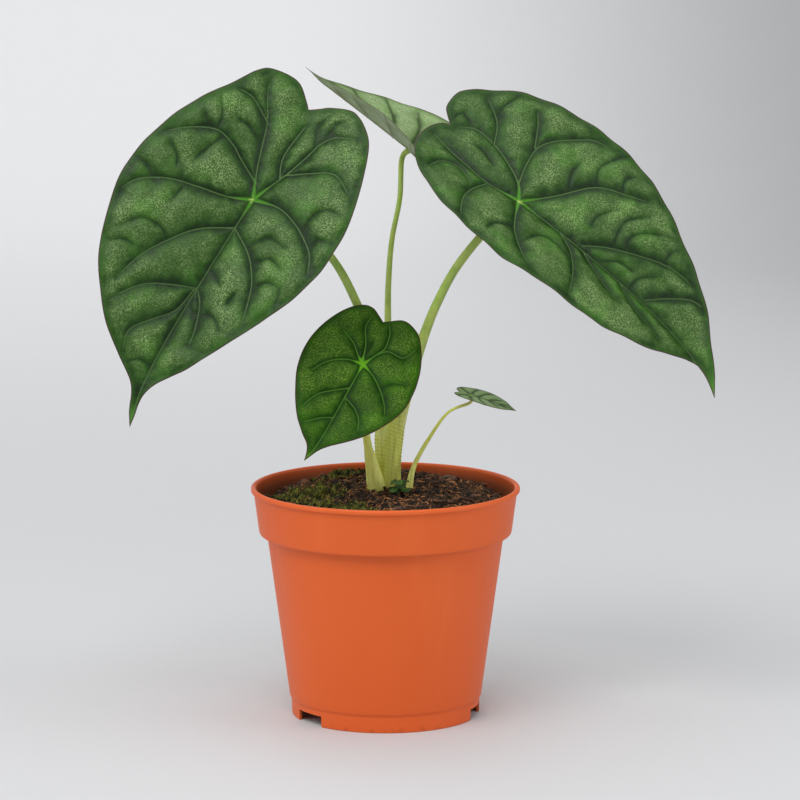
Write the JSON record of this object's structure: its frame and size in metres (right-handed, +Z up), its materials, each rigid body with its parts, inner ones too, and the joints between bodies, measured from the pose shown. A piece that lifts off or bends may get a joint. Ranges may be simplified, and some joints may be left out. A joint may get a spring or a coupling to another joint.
{
  "type": "potted plant",
  "caption": "Young alocasia with quilted shield-shaped leaves on slender stalks, growing in a stepped-collar nursery pot of potting mix.",
  "frame": {"origin": "middle of the plant's overall box at the level that the pot stands on; the pot's axis is 10.3 mm from it towards -X", "axes": "+Z up along the pot's axis, +X to the right and +Y away from a viewer who faces the broad sides of the two large leaves"},
  "size_m": [0.269, 0.12, 0.2904],
  "materials": {
    "orange_plastic": "satin",
    "potting_mix": "matte",
    "stem_green": "satin",
    "stalk_green": "satin",
    "leaf_green": "satin",
    "young_leaf_green": "satin",
    "moss": "matte",
    "bark": "matte",
    "weed_green": "satin"
  },
  "bodies": {
    "root": {"pot": "orange_plastic", "potting_mix": "potting_mix", "pseudostem": "stem_green", "petiole_left": "stalk_green", "blade_left": "leaf_green", "petiole_right": "stalk_green", "blade_right": "leaf_green", "petiole_back": "stalk_green", "blade_back": "leaf_green", "petiole_small": "stalk_green", "blade_small": "young_leaf_green", "petiole_seedling": "stalk_green", "blade_seedling": "young_leaf_green", "moss_left": "moss", "moss_front": "moss", "moss_back": "moss", "bark_chip_1": "bark", "bark_chip_2": "bark", "bark_chip_3": "bark", "bark_chip_4": "bark", "bark_chip_5": "bark", "twig": "bark", "seed_husk": "bark", "weed_sprout": "weed_green"}
  },
  "joints": []
}
